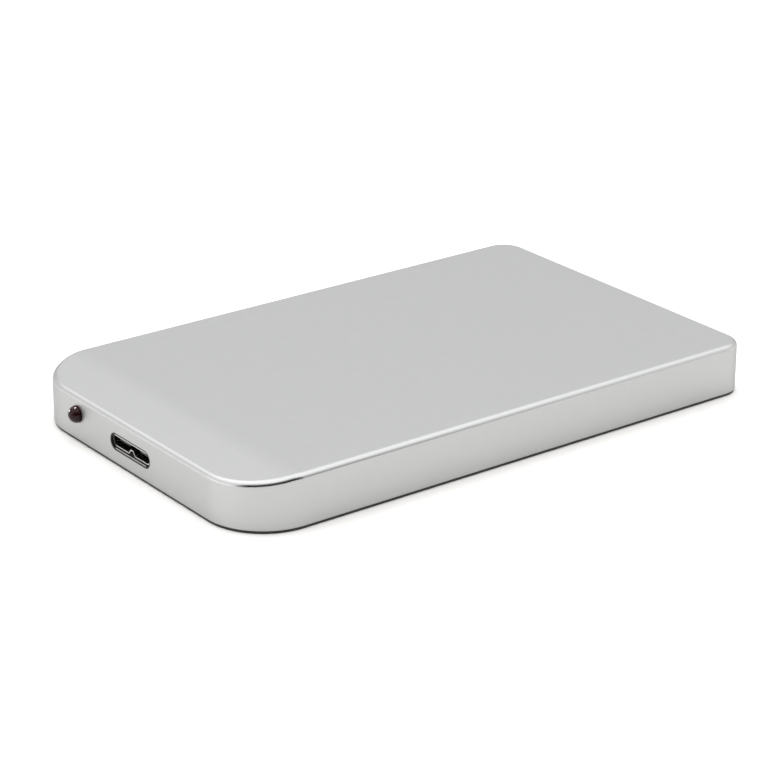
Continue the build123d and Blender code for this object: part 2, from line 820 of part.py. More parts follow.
# SATA socket on the bridge board, its nose pushed into the plug and slotted for the blades
nose_depth = sata_pocket - sata_slack
slot_low = blade_low - sata_pin - sata_spring
slot_high = blade_high + sata_slack
with BuildPart() as sata_socket:
    with BuildSketch(sata_plane.offset(-sata_mating_gap)):
        with Locations((sata_offset, (board_top + sata_top_z) / 2)):
            Rectangle(sata_width, sata_top_z - board_top)
    extrude(amount=-sata_socket_length)
    with BuildSketch(sata_plane.offset(-sata_mating_gap)):
        with Locations((sata_offset, (pocket_low + pocket_high) / 2)):
            Rectangle(
                sata_width - 2 * (sata_wall + sata_slack),
                pocket_high - pocket_low - 2 * sata_slack,
            )
    extrude(amount=sata_mating_gap + nose_depth)
    with BuildSketch(sata_plane):
        with Locations((signal_y, (slot_low + slot_high) / 2)):
            Rectangle(sata_signal_width + 2 * sata_slack, slot_high - slot_low)
        with Locations((power_y, (slot_low + slot_high) / 2)):
            Rectangle(sata_power_width + 2 * sata_slack, slot_high - slot_low)
    extrude(amount=nose_depth, mode=Mode.SUBTRACT)
sata_socket.part.label = "sata_socket"
export_step(sata_socket.part, "parts/sata_socket.step")

# Contact springs on the floor of the socket's slots
with BuildPart() as sata_socket_contacts:
    with BuildSketch(sata_plane):
        with Locations((signal_y, slot_low + sata_spring / 2)):
            with GridLocations(sata_pin_pitch, 1, sata_signal_pins, 1):
                Rectangle(sata_pin_width, sata_spring)
        with Locations((power_y, slot_low + sata_spring / 2)):
            with GridLocations(sata_pin_pitch, 1, sata_power_pins, 1):
                Rectangle(sata_pin_width, sata_spring)
    extrude(amount=nose_depth)
sata_socket_contacts.part.label = "sata_socket_contacts"
export_step(sata_socket_contacts.part, "parts/sata_socket_contacts.step")

# The largest disk that fits the casting, the spindle it turns on and the places of the drive's screws
well_by_width = drive_width / 2 - well_rim
well_by_length = (drive_length - arm_bay_front - arm_bay_length - well_rear_rim) / 2
well_radius = min(well_by_width, well_by_length)
disk_radius = well_radius - disk_room
spindle = (drive_rear - well_rear_rim - well_radius, 0)
arm_bay_width = drive_width - 2 * arm_bay_wall
rail_inner = drive_width / 2 - rail_width
drive_board_x = drive_front + drive_board_front
drive_board_end = spindle[0] - drive_board_motor_gap
drive_board_length = drive_board_end - drive_board_x
board_recess_end = drive_board_end + drive_board_slack
lid_screw_y = drive_width / 2 - lid_screw_inset
lid_screw_xs = (drive_front + lid_screw_front, drive_front + lid_screw_middle, drive_rear - lid_screw_front)
lid_screw_places = [(x, side * lid_screw_y) for x in lid_screw_xs for side in (-1, 1)]
board_screw_y = rail_inner - drive_board_slack - board_screw_side
board_screw_xs = (drive_board_x + board_screw_front, drive_board_end - board_screw_rear)
board_screw_places = [(x, side * board_screw_y) for x in board_screw_xs for side in (-1, 1)]
bay_front = drive_front + arm_bay_front
bearing_low = deck_top - shaft_reach - shaft_end_gap

# Outline of the disk well and the arm bay in front of it
with BuildSketch() as well_outline:
    with Locations(((bay_front + spindle[0]) / 2, 0)):
        Rectangle(spindle[0] - bay_front, arm_bay_width)
    fillet(vertices().group_by(Axis.X)[0], bay_corner)
    with Locations(spindle):
        Circle(well_radius)

# Drive casting: aluminium tub with the disk well and arm bay above, board recess and side rails below
with BuildPart() as drive_base:
    with BuildSketch(Plane.XY.offset(drive_bottom)):
        with Locations((drive_x, 0)):
            RectangleRounded(drive_length, drive_width, drive_corner)
    extrude(amount=base_top - drive_bottom)
    with BuildSketch(Plane.XY.offset(deck_top)):
        add(well_outline.sketch)
    extrude(amount=base_top - deck_top, mode=Mode.SUBTRACT)
    # Recess for the control board, and the shallower one under the motor
    with BuildSketch(Plane.XY.offset(drive_bottom)):
        with Locations(((drive_front + board_recess_end) / 2, 0)):
            Rectangle(board_recess_end - drive_front, 2 * rail_inner)
    extrude(amount=deck_under - drive_bottom, mode=Mode.SUBTRACT)
    with BuildSketch(Plane.XY.offset(drive_bottom)):
        with Locations(((board_recess_end + drive_rear - rear_rail) / 2, 0)):
            Rectangle(drive_rear - rear_rail - board_recess_end, 2 * rail_inner)
    extrude(amount=motor_recess, mode=Mode.SUBTRACT)
    # Bosses that carry the control board
    with BuildSketch(Plane.XY.offset(drive_board_top)):
        with Locations(*board_screw_places):
            RegularPolygon(board_boss_radius, screw_side_count)
    extrude(amount=deck_under - drive_board_top)
    with BuildSketch(Plane.XY.offset(drive_board_top)):
        with Locations(*board_screw_places):
            RegularPolygon(small_screw_radius + thread_slack, screw_side_count)
    extrude(amount=board_screw_reach, mode=Mode.SUBTRACT)
    # Gap for the SATA plug at the end
    with BuildSketch(sata_plane):
        with Locations((sata_offset, (drive_bottom + sata_top_z + sata_slack) / 2)):
            Rectangle(sata_width + 2 * sata_slack, sata_top_z + sata_slack - drive_bottom)
    extrude(amount=sata_depth + sata_slack, mode=Mode.SUBTRACT)
    # Motor boss with the bearing's bore, lid screw holes and the standard mounting holes
    with BuildSketch(Plane.XY.offset(deck_top)):
        with Locations(spindle):
            Circle(boss_foot_radius)
    extrude(amount=boss_foot)
    with BuildSketch(Plane.XY.offset(bearing_low)):
        with Locations(spindle):
            Circle(bearing_radius + press_slack)
    extrude(amount=deck_top + boss_foot - bearing_low, mode=Mode.SUBTRACT)
    with BuildSketch(Plane.XY.offset(base_top)):
        with Locations(*lid_screw_places):
            RegularPolygon(small_screw_radius + thread_slack, screw_side_count)
    extrude(amount=-lid_screw_reach, mode=Mode.SUBTRACT)
    mount_hole_pitch = drive_length - mount_hole_front - mount_hole_rear
    with BuildSketch(Plane.XY.offset(drive_bottom)):
        with Locations((drive_front + mount_hole_front + mount_hole_pitch / 2, 0)):
            with GridLocations(mount_hole_pitch, drive_width - 2 * mount_hole_side, 2, 2):
                RegularPolygon(mount_hole_radius, screw_side_count)
    extrude(amount=mount_hole_depth, mode=Mode.SUBTRACT)
drive_base.part.label = "drive_base"
export_step(drive_base.part, "parts/drive_base.step")

# Gasket on the casting's rim, a band round the well and the arm bay
with BuildPart() as lid_gasket:
    with BuildSketch(Plane.XY.offset(base_top)):
        add(well_outline.sketch)
        offset(amount=gasket_room + gasket_width)
        offset(amount=-gasket_width, mode=Mode.SUBTRACT)
    extrude(amount=gasket_thickness)
lid_gasket.part.label = "lid_gasket"
export_step(lid_gasket.part, "parts/lid_gasket.step")

# Lid of the drive, with sunk seats for its screws
with BuildPart() as drive_lid:
    with BuildSketch(Plane.XY.offset(lid_under)):
        with Locations((drive_x, 0)):
            RectangleRounded(drive_length - 2 * lid_inset, drive_width - 2 * lid_inset, drive_corner)
        with Locations(*lid_screw_places):
            RegularPolygon(small_screw_radius + thread_slack, screw_side_count, mode=Mode.SUBTRACT)
    extrude(amount=lid_thickness)
    with BuildSketch(Plane.XY.offset(drive_top)):
        with Locations(*lid_screw_places):
            RegularPolygon(small_screw_head_radius + thread_slack, screw_side_count)
    extrude(amount=-small_screw_head, mode=Mode.SUBTRACT)
drive_lid.part.label = "drive_lid"
export_step(drive_lid.part, "parts/drive_lid.step")

# Lid screws
with BuildPart() as lid_screws:
    with BuildSketch(Plane.XY.offset(drive_top)):
        with Locations(*lid_screw_places):
            RegularPolygon(small_screw_head_radius, screw_side_count)
    extrude(amount=-small_screw_head)
    with BuildSketch(Plane.XY.offset(drive_top - small_screw_head)):
        with Locations(*lid_screw_places):
            RegularPolygon(small_screw_radius, screw_side_count)
    extrude(amount=base_top - lid_screw_reach - drive_top + small_screw_head + small_screw_radius)
lid_screws.part.label = "lid_screws"
export_step(lid_screws.part, "parts/lid_screws.step")

# Control board of the drive, cut back round the motor
with BuildPart() as drive_board:
    with BuildSketch(Plane.XY.offset(drive_board_bottom)):
        with Locations(((drive_board_x + drive_board_end) / 2, 0)):
            Rectangle(drive_board_length, 2 * (rail_inner - drive_board_slack))
        with Locations(spindle):
            Circle(drive_board_notch, mode=Mode.SUBTRACT)
        with Locations(*board_screw_places):
            RegularPolygon(small_screw_radius + thread_slack, screw_side_count, mode=Mode.SUBTRACT)
    extrude(amount=drive_board_thickness)
drive_board.part.label = "drive_board"
export_step(drive_board.part, "parts/drive_board.step")

# Screws of the control board
with BuildPart() as board_screws:
    with BuildSketch(Plane.XY.offset(drive_board_bottom)):
        with Locations(*board_screw_places):
            RegularPolygon(small_screw_head_radius, screw_side_count)
    extrude(amount=-small_screw_head)
    with BuildSketch(Plane.XY.offset(drive_board_bottom)):
        with Locations(*board_screw_places):
            RegularPolygon(small_screw_radius, screw_side_count)
    extrude(amount=drive_board_thickness + board_screw_reach - small_screw_head)
board_screws.part.label = "board_screws"
export_step(board_screws.part, "parts/board_screws.step")

# Chips on the inner side of the control board, laid out from its front edge
with BuildPart() as drive_controller:
    with BuildSketch(Plane.XY.offset(drive_board_top)):
        with Locations((drive_board_x + controller_place[0], controller_place[1])):
            Rectangle(controller_size, controller_size)
    extrude(amount=chip_height)
drive_controller.part.label = "drive_controller"
export_step(drive_controller.part, "parts/drive_controller.step")

with BuildPart() as motor_driver:
    with BuildSketch(Plane.XY.offset(drive_board_top)):
        with Locations((drive_board_x + motor_driver_place[0], motor_driver_place[1])):
            Rectangle(motor_driver_size, motor_driver_size)
    extrude(amount=chip_height)
motor_driver.part.label = "motor_driver"
export_step(motor_driver.part, "parts/motor_driver.step")

with BuildPart() as cache_chip:
    with BuildSketch(Plane.XY.offset(drive_board_top)):
        with Locations((drive_board_x + cache_place[0], cache_place[1])):
            Rectangle(cache_width, cache_length)
    extrude(amount=chip_height)
cache_chip.part.label = "cache_chip"
export_step(cache_chip.part, "parts/cache_chip.step")

with BuildPart() as drive_passives:
    with BuildSketch(Plane.XY.offset(drive_board_top)):
        with Locations((drive_board_x + drive_passive_place[0], drive_passive_place[1])):
            with GridLocations(1, passive_pitch, 1, drive_passive_count):
                Rectangle(passive_length, passive_width)
    extrude(amount=passive_height)
drive_passives.part.label = "drive_passives"
export_step(drive_passives.part, "parts/drive_passives.step")

# Bearing sleeve in the motor boss
bearing_top = deck_top + bearing_height
with BuildPart() as bearing_sleeve:
    with BuildSketch(Plane.XY.offset(bearing_low)):
        with Locations(spindle):
            Circle(bearing_radius)
    extrude(amount=bearing_top - bearing_low)
    with BuildSketch(Plane.XY.offset(bearing_low + shaft_end_gap)):
        with Locations(spindle):
            Circle(shaft_radius + shaft_slack)
    extrude(amount=bearing_top - bearing_low, mode=Mode.SUBTRACT)
bearing_sleeve.part.label = "bearing_sleeve"
export_step(bearing_sleeve.part, "parts/bearing_sleeve.step")

# Spindle hub: a cup with the shaft in its middle and a flange under the lower disk
hub_radius = disk_bore - hub_slack
hub_inner = hub_radius - hub_wall
spindle_axis = Axis((spindle[0], spindle[1], 0), (0, 0, 1))
spindle_plane = Plane(origin=(spindle[0], spindle[1], 0), x_dir=(1, 0, 0), z_dir=(0, -1, 0))
with BuildPart() as spindle_hub:
    with BuildSketch(spindle_plane):
        with BuildLine():
            Polyline(
                (0, bearing_low + 2 * shaft_end_gap),
                (shaft_radius, bearing_low + 2 * shaft_end_gap),
                (shaft_radius, hub_top_z - hub_top),
                (hub_inner, hub_top_z - hub_top),
                (hub_inner, lower_disk_z - hub_flange_thickness),
                (disk_bore + hub_flange, lower_disk_z - hub_flange_thickness),
                (disk_bore + hub_flange, lower_disk_z),
                (hub_radius, lower_disk_z),
                (hub_radius, hub_top_z),
                (0, hub_top_z),
                close=True,
            )
        make_face()
    revolve(axis=spindle_axis)
    with BuildSketch(Plane.XY.offset(hub_top_z)):
        with Locations(spindle):
            with PolarLocations(clamp_screw_circle, clamp_screw_count):
                RegularPolygon(clamp_screw_radius + thread_slack, screw_side_count)
    extrude(amount=-hub_top, mode=Mode.SUBTRACT)
spindle_hub.part.label = "spindle_hub"
export_step(spindle_hub.part, "parts/spindle_hub.step")

# Ring magnet inside the hub
with BuildPart() as rotor_magnet:
    with BuildSketch(Plane.XY.offset(hub_top_z - hub_top - magnet_height)):
        with Locations(spindle):
            Circle(hub_inner)
            Circle(hub_inner - magnet_wall, mode=Mode.SUBTRACT)
    extrude(amount=magnet_height)
rotor_magnet.part.label = "rotor_magnet"
export_step(rotor_magnet.part, "parts/rotor_magnet.step")

# Stator: toothed iron stack on the motor boss, and the coils wound on its teeth
stator_z = deck_top + boss_foot
stator_radius = hub_inner - magnet_wall - stator_gap
stator_root = bearing_radius + stator_ring
tooth_middle = (stator_root + stator_radius - tooth_tip) / 2
with BuildPart() as stator_core:
    with BuildSketch(Plane.XY.offset(stator_z)):
        with Locations(spindle):
            Circle(stator_root)
            with PolarLocations(tooth_middle, stator_teeth):
                Rectangle(stator_radius - stator_root + tooth_tip, tooth_width)
            with PolarLocations(stator_radius - tooth_tip / 2, stator_teeth):
                Rectangle(tooth_tip, tooth_tip_width)
            Circle(bearing_radius + press_slack, mode=Mode.SUBTRACT)
    extrude(amount=stator_thickness)
stator_core.part.label = "stator_core"
export_step(stator_core.part, "parts/stator_core.step")

with BuildPart() as stator_coils:
    with BuildSketch(Plane.XY.offset(stator_z - coil_wall)):
        with Locations(spindle):
            with PolarLocations(tooth_middle, stator_teeth):
                Rectangle(coil_length, tooth_width + 2 * coil_wall)
    extrude(amount=stator_thickness + 2 * coil_wall)
    with BuildSketch(Plane.XY.offset(stator_z)):
        with Locations(spindle):
            with PolarLocations(tooth_middle, stator_teeth):
                Rectangle(coil_length, tooth_width)
    extrude(amount=stator_thickness, mode=Mode.SUBTRACT)
stator_coils.part.label = "stator_coils"
export_step(stator_coils.part, "parts/stator_coils.step")

# Disks, the spacer between them and the clamp on top
with BuildPart() as lower_platter:
    with BuildSketch(Plane.XY.offset(lower_disk_z)):
        with Locations(spindle):
            Circle(disk_radius)
            Circle(disk_bore, mode=Mode.SUBTRACT)
    extrude(amount=disk_thickness)
lower_platter.part.label = "lower_platter"
export_step(lower_platter.part, "parts/lower_platter.step")

with BuildPart() as platter_spacer:
    with BuildSketch(Plane.XY.offset(lower_disk_top)):
        with Locations(spindle):
            Circle(disk_bore + hub_flange)
            Circle(disk_bore, mode=Mode.SUBTRACT)
    extrude(amount=disk_gap)
platter_spacer.part.label = "platter_spacer"
export_step(platter_spacer.part, "parts/platter_spacer.step")

with BuildPart() as upper_platter:
    with BuildSketch(Plane.XY.offset(upper_disk_z)):
        with Locations(spindle):
            Circle(disk_radius)
            Circle(disk_bore, mode=Mode.SUBTRACT)
    extrude(amount=disk_thickness)
upper_platter.part.label = "upper_platter"
export_step(upper_platter.part, "parts/upper_platter.step")

clamp_radius = disk_bore + hub_flange
with BuildPart() as disk_clamp:
    with BuildSketch(Plane.XY.offset(upper_disk_top)):
        with Locations(spindle):
            Circle(clamp_radius)
            with PolarLocations(clamp_screw_circle, clamp_screw_count):
                RegularPolygon(clamp_screw_radius + thread_slack, screw_side_count, mode=Mode.SUBTRACT)
    extrude(amount=clamp_thickness)
disk_clamp.part.label = "disk_clamp"
export_step(disk_clamp.part, "parts/disk_clamp.step")

with BuildPart() as clamp_screws:
    with BuildSketch(Plane.XY.offset(upper_disk_top + clamp_thickness)):
        with Locations(spindle):
            with PolarLocations(clamp_screw_circle, clamp_screw_count):
                RegularPolygon(clamp_screw_head_radius, screw_side_count)
    extrude(amount=clamp_screw_head)
    with BuildSketch(Plane.XY.offset(upper_disk_top + clamp_thickness)):
        with Locations(spindle):
            with PolarLocations(clamp_screw_circle, clamp_screw_count):
                RegularPolygon(clamp_screw_radius, screw_side_count)
    extrude(amount=-clamp_screw_reach)
clamp_screws.part.label = "clamp_screws"
export_step(clamp_screws.part, "parts/clamp_screws.step")

# Head arm: its pivot stands beside the disks, and the parked heads lie just outside their rim
pivot_back = disk_radius + pivot_room
pivot_side = arm_bay_width / 2 - pivot_wall
arm_length = disk_radius + arm_past_disk
arm_reach = arm_length - spring_run
park_radius = disk_radius + park_gap
pivot = (spindle[0] - pivot_back, spindle[1] - pivot_side)
pivot_distance = hypot(pivot_back, pivot_side)
park_cosine = (pivot_distance**2 + arm_length**2 - park_radius**2) / (2 * pivot_distance * arm_length)
park_angle = atan2(pivot_side, pivot_back) + acos(park_cosine)
arm_plane = Plane(origin=(*pivot, 0), x_dir=(cos(park_angle), sin(park_angle), 0), z_dir=(0, 0, 1))
lower_spring_z = lower_disk_z - head_gap - slider_thickness - spring_thickness
inner_low_spring_z = lower_disk_top + head_gap + slider_thickness
inner_high_spring_z = upper_disk_z - head_gap - slider_thickness - spring_thickness
upper_spring_z = upper_disk_top + head_gap + slider_thickness
lower_arm_z = lower_spring_z - outer_arm_thickness
upper_arm_z = upper_spring_z + spring_thickness
middle_arm_z = inner_low_spring_z + spring_thickness
arm_levels = (
    (lower_arm_z, outer_arm_thickness),
    (middle_arm_z, inner_high_spring_z - middle_arm_z),
    (upper_arm_z, outer_arm_thickness),
)
block_top = upper_arm_z + outer_arm_thickness

# Arm block: barrel with three tapering arms
with BuildPart() as arm_block:
    with BuildSketch(arm_plane.offset(lower_arm_z)):
        Circle(arm_block_radius)
    extrude(amount=block_top - lower_arm_z)
    for arm_z, arm_thickness in arm_levels:
        with BuildSketch(arm_plane.offset(arm_z)):
            with BuildLine():
                Polyline(
                    (0, arm_root / 2),
                    (0, -arm_root / 2),
                    (arm_reach, -arm_tip / 2),
                    (arm_reach, arm_tip / 2),
                    close=True,
                )
            make_face()
        extrude(amount=arm_thickness)
    with BuildSketch(arm_plane.offset(lower_arm_z)):
        Circle(sleeve_radius + press_slack)
    extrude(amount=block_top - lower_arm_z, mode=Mode.SUBTRACT)
arm_block.part.label = "arm_block"
export_step(arm_block.part, "parts/arm_block.step")

# Pivot post on the casting's floor, and the sleeve that turns on it
with BuildPart() as pivot_post:
    with BuildSketch(arm_plane.offset(deck_top)):
        Circle(pivot_foot_radius)
    extrude(amount=pivot_foot)
    with BuildSketch(arm_plane.offset(deck_top)):
        Circle(pivot_radius)
    extrude(amount=lid_under - pivot_end_gap - deck_top)
pivot_post.part.label = "pivot_post"
export_step(pivot_post.part, "parts/pivot_post.step")

with BuildPart() as pivot_sleeve:
    sleeve_z = deck_top + pivot_foot + pivot_slack
    with BuildSketch(arm_plane.offset(sleeve_z)):
        Circle(sleeve_radius)
        Circle(pivot_radius + pivot_slack, mode=Mode.SUBTRACT)
    extrude(amount=block_top - sleeve_z)
pivot_sleeve.part.label = "pivot_sleeve"
export_step(pivot_sleeve.part, "parts/pivot_sleeve.step")

# Spring suspensions on the arms, and the heads at their tips
with BuildPart() as head_suspensions:
    for spring_z in (lower_spring_z, inner_low_spring_z, inner_high_spring_z, upper_spring_z):
        with BuildSketch(arm_plane.offset(spring_z)):
            with BuildLine():
                Polyline(
                    (arm_reach - spring_overlap, spring_width / 2),
                    (arm_reach - spring_overlap, -spring_width / 2),
                    (arm_length + slider_length / 2, -spring_tip / 2),
                    (arm_length + slider_length / 2, spring_tip / 2),
                    close=True,
                )
            make_face()
        extrude(amount=spring_thickness)
head_suspensions.part.label = "head_suspensions"
export_step(head_suspensions.part, "parts/head_suspensions.step")

with BuildPart() as head_sliders:
    for slider_z in (
        lower_spring_z + spring_thickness,
        inner_low_spring_z - slider_thickness,
        inner_high_spring_z + spring_thickness,
        upper_spring_z - slider_thickness,
    ):
        with BuildSketch(arm_plane.offset(slider_z)):
            with Locations((arm_length, 0)):
                Rectangle(slider_length, slider_width)
        extrude(amount=slider_thickness)
head_sliders.part.label = "head_sliders"
export_step(head_sliders.part, "parts/head_sliders.step")

# Voice coil behind the pivot, and the moulded frame that ties it to the barrel
coil_z = (lower_disk_top + upper_disk_z) / 2
with BuildPart() as voice_coil:
    with BuildSketch(arm_plane.offset(coil_z - coil_thickness / 2)):
        with BuildLine():
            Polyline(
                (-coil_inner, coil_root_width / 2),
                (-coil_inner, -coil_root_width / 2),
                (-coil_outer, -coil_tip_width / 2),
                (-coil_outer, coil_tip_width / 2),
                close=True,
            )
        make_face()
        offset(amount=-coil_band, kind=Kind.INTERSECTION, mode=Mode.SUBTRACT)
    extrude(amount=coil_thickness)
voice_coil.part.label = "voice_coil"
export_step(voice_coil.part, "parts/voice_coil.step")

with BuildPart() as coil_frame:
    with BuildSketch(arm_plane.offset(coil_z - frame_thickness / 2)):
        with BuildLine():
            Polyline(
                (0, coil_root_width / 2),
                (0, -coil_root_width / 2),
                (-coil_inner, -coil_root_width / 2 - frame_band),
                (-coil_outer - frame_band, -coil_tip_width / 2 - frame_band),
                (-coil_outer - frame_band, coil_tip_width / 2 + frame_band),
                (-coil_inner, coil_root_width / 2 + frame_band),
                close=True,
            )
        make_face()
        with BuildLine():
            Polyline(
                (-coil_inner, coil_root_width / 2),
                (-coil_inner, -coil_root_width / 2),
                (-coil_outer, -coil_tip_width / 2),
                (-coil_outer, coil_tip_width / 2),
                close=True,
            )
        make_face(mode=Mode.SUBTRACT)
        Circle(arm_block_radius + press_slack, mode=Mode.SUBTRACT)
    extrude(amount=frame_thickness)
coil_frame.part.label = "coil_frame"
export_step(coil_frame.part, "parts/coil_frame.step")

# Magnet assembly round the coil: two yoke plates on three posts, a magnet on each plate
coil_angle = park_angle + radians(180 - swing_half_angle)
yoke_plane = Plane(origin=(*pivot, 0), x_dir=(cos(coil_angle), sin(coil_angle), 0), z_dir=(0, 0, 1))
yoke_side_x = yoke_side_reach * cos(radians(yoke_side_angle))
yoke_side_y = yoke_side_reach * sin(radians(yoke_side_angle))
yoke_post_places = [(yoke_far_reach, 0), (yoke_side_x, yoke_side_y), (yoke_side_x, -yoke_side_y)]
lower_magnet_z = deck_top + yoke_thickness
lower_magnet_top = coil_z - coil_thickness / 2 - coil_magnet_gap
upper_magnet_z = coil_z + coil_thickness / 2 + coil_magnet_gap
upper_yoke_z = lid_under - pivot_end_gap - yoke_thickness
with BuildPart() as lower_yoke:
    with BuildSketch(yoke_plane.offset(deck_top)):
        with Locations(*yoke_post_places):
            Circle(yoke_post_radius + yoke_margin)
        make_hull()
    extrude(amount=yoke_thickness)
lower_yoke.part.label = "lower_yoke"
export_step(lower_yoke.part, "parts/lower_yoke.step")

with BuildPart() as upper_yoke:
    with BuildSketch(yoke_plane.offset(upper_yoke_z)):
        with Locations(*yoke_post_places):
            Circle(yoke_post_radius + yoke_margin)
        make_hull()
    extrude(amount=yoke_thickness)
upper_yoke.part.label = "upper_yoke"
export_step(upper_yoke.part, "parts/upper_yoke.step")

with BuildPart() as yoke_posts:
    with BuildSketch(yoke_plane.offset(lower_magnet_z)):
        with Locations(*yoke_post_places):
            RegularPolygon(yoke_post_radius, screw_side_count)
    extrude(amount=upper_yoke_z - lower_magnet_z)
yoke_posts.part.label = "yoke_posts"
export_step(yoke_posts.part, "parts/yoke_posts.step")

wedge_x = 2 * magnet_outer * cos(radians(magnet_half_angle))
wedge_y = 2 * magnet_outer * sin(radians(magnet_half_angle))
with BuildPart() as lower_magnet:
    with BuildSketch(yoke_plane.offset(lower_magnet_z)):
        Circle(magnet_outer)
        Circle(magnet_inner, mode=Mode.SUBTRACT)
        with BuildLine():
            Polyline((0, 0), (wedge_x, -wedge_y), (wedge_x, wedge_y), close=True)
        make_face(mode=Mode.INTERSECT)
    extrude(amount=lower_magnet_top - lower_magnet_z)
lower_magnet.part.label = "lower_magnet"
export_step(lower_magnet.part, "parts/lower_magnet.step")

with BuildPart() as upper_magnet:
    with BuildSketch(yoke_plane.offset(upper_magnet_z)):
        Circle(magnet_outer)
        Circle(magnet_inner, mode=Mode.SUBTRACT)
        with BuildLine():
            Polyline((0, 0), (wedge_x, -wedge_y), (wedge_x, wedge_y), close=True)
        make_face(mode=Mode.INTERSECT)
    extrude(amount=upper_yoke_z - upper_magnet_z)
upper_magnet.part.label = "upper_magnet"
export_step(upper_magnet.part, "parts/upper_magnet.step")

# Parking ramp just past the heads, outside the disks' rim
with BuildPart() as parking_ramp:
    ramp_middle = arm_length + slider_length / 2 + ramp_gap + ramp_length / 2
    with BuildSketch(arm_plane.offset(deck_top)):
        with Locations((ramp_middle, ramp_shift)):
            Rectangle(ramp_length, ramp_width)
    extrude(amount=block_top - deck_top)
    chamfer(edges().filter_by(Axis.Z), ramp_chamfer)
parking_ramp.part.label = "parking_ramp"
export_step(parking_ramp.part, "parts/parking_ramp.step")
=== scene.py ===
from math import cos, radians, sin

import bmesh
import bpy
from mathutils import Matrix, Vector


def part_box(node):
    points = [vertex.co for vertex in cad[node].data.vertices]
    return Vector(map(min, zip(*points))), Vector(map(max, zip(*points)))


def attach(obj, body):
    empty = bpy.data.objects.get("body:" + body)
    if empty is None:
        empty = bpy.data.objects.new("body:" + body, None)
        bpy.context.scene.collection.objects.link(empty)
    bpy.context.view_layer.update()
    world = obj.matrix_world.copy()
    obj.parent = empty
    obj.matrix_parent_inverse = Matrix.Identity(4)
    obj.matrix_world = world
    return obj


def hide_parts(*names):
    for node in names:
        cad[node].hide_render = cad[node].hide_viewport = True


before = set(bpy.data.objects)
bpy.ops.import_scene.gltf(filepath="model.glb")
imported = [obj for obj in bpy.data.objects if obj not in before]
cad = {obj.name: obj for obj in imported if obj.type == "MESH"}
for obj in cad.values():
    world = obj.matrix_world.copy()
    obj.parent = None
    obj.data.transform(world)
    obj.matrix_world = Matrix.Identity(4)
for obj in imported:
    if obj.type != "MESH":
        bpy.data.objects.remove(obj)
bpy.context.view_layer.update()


# Drive casting: one die-cast aluminium tray with rails, a round disk well and a motor seat. It comes
# out of the die with a fine grain, is skimmed on its faces and stays bare.
def add(tree, kind, sockets=(), **settings):
    node = tree.nodes.new(kind)
    for name, value in settings.items():
        setattr(node, name, value)
    for socket, value in dict(sockets).items():
        if isinstance(value, bpy.types.NodeSocket):
            tree.links.new(value, node.inputs[socket])
        else:
            node.inputs[socket].default_value = value
    return node


def effect(name, takes):
    group = bpy.data.node_groups.new(name, "ShaderNodeTree")
    for label, value in takes.items():
        kind = "NodeSocketFloat" if isinstance(value, float) else "NodeSocketColor"
        group.interface.new_socket(label, in_out="INPUT", socket_type=kind).default_value = value
    group.interface.new_socket("Color", in_out="OUTPUT", socket_type="NodeSocketColor")
    group.interface.new_socket("Roughness", in_out="OUTPUT", socket_type="NodeSocketFloat")
    group.interface.new_socket("Height", in_out="OUTPUT", socket_type="NodeSocketFloat")
    return group, add(group, "NodeGroupInput").outputs, add(group, "NodeGroupOutput")


def noise(tree, place, scale, detail):
    sockets = {"Vector": place, "Scale": scale, "Detail": detail}
    return add(tree, "ShaderNodeTexNoise", sockets).outputs["Fac"]


def mixed(tree, share, first, second, **settings):
    sockets = {"Factor": share, "A": first, "B": second}
    return add(tree, "ShaderNodeMix", sockets, **settings).outputs["Result"]


def give_tones(group, taken, given, tone, height):
    colour = mixed(group, tone, taken["Dark"], taken["Light"], data_type="RGBA")
    spread = {"Value": tone, "To Min": taken["Smooth"], "To Max": taken["Rough"]}
    rough = add(group, "ShaderNodeMapRange", spread).outputs["Result"]
    group.links.new(colour, given.inputs["Color"])
    group.links.new(rough, given.inputs["Roughness"])
    group.links.new(height, given.inputs["Height"])


tones = {"Dark": (0.3, 0.3, 0.3, 1.0), "Light": (0.5, 0.5, 0.5, 1.0), "Smooth": 0.3, "Rough": 0.5}
grain_sizes = {"Grain Scale": 3000.0, "Patch Scale": 60.0, "Patch Share": 0.4}
fine_grain, taken, given = effect("fine_grain", {**grain_sizes, **tones})
place = add(fine_grain, "ShaderNodeTexCoord").outputs["Object"]
grain = noise(fine_grain, place, taken["Grain Scale"], detail=2.0)
patches = noise(fine_grain, place, taken["Patch Scale"], detail=3.0)
give_tones(fine_grain, taken, given, mixed(fine_grain, taken["Patch Share"], grain, patches), grain)


def finish(name, group, values, bump, **shader_values):
    material = bpy.data.materials.new(name)
    material.use_nodes = True
    tree = material.node_tree
    shader = tree.nodes["Principled BSDF"]
    surface = add(tree, "ShaderNodeGroup", values, node_tree=group).outputs
    relief = add(tree, "ShaderNodeBump", {"Height": surface["Height"], "Strength": 1.0, "Distance": bump})
    tree.links.new(surface["Color"], shader.inputs["Base Color"])
    tree.links.new(surface["Roughness"], shader.inputs["Roughness"])
    tree.links.new(relief.outputs["Normal"], shader.inputs["Normal"])
    for socket, value in shader_values.items():
        shader.inputs[socket.replace("_", " ")].default_value = value
    return material


def dress(material, *names):
    for name in names:
        cad[name].data.materials[0] = material


bare_casting = finish(
    "bare_casting",
    fine_grain,
    {"Grain Scale": 1800.0, "Patch Scale": 90.0, "Smooth": 0.34, "Rough": 0.52,
     "Dark": (0.36, 0.37, 0.38, 1), "Light": (0.52, 0.53, 0.54, 1)},
    bump=0.00002,
    Metallic=1.0,
)
dress(bare_casting, "drive_base")


